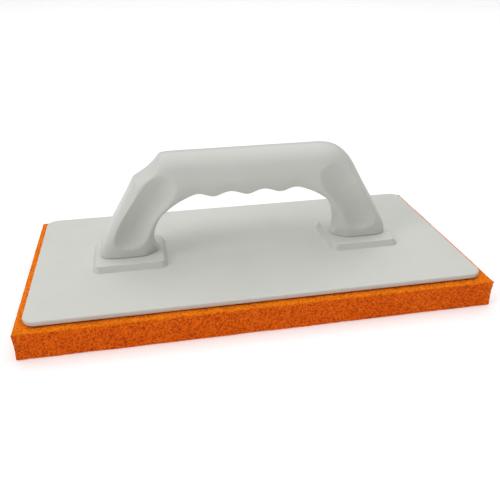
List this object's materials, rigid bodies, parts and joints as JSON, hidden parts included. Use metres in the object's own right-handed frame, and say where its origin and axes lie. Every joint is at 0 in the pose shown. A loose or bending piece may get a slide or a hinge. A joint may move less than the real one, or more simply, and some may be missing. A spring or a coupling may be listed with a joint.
{
  "type": "grout float",
  "caption": "White plastic hand float with an arched finger-grip handle and an orange sponge rubber pad, for washing grout off tiles",
  "frame": {"origin": "centre of the pad's flat working face", "axes": "+X along the length of the float, +Y across it, +Z from the pad up through the plate to the handle"},
  "size_m": [0.28, 0.14, 0.0888],
  "materials": {
    "sponge": "matte",
    "adhesive": "satin",
    "plate_plastic": "satin",
    "handle_plastic": "satin",
    "screw_steel": "satin"
  },
  "bodies": {
    "root": {"sponge_pad": "sponge", "adhesive_film": "adhesive", "base_plate": "plate_plastic", "handle": "handle_plastic", "screw_left_outer": "screw_steel", "screw_left_inner": "screw_steel", "screw_right_inner": "screw_steel", "screw_right_outer": "screw_steel"}
  },
  "joints": []
}
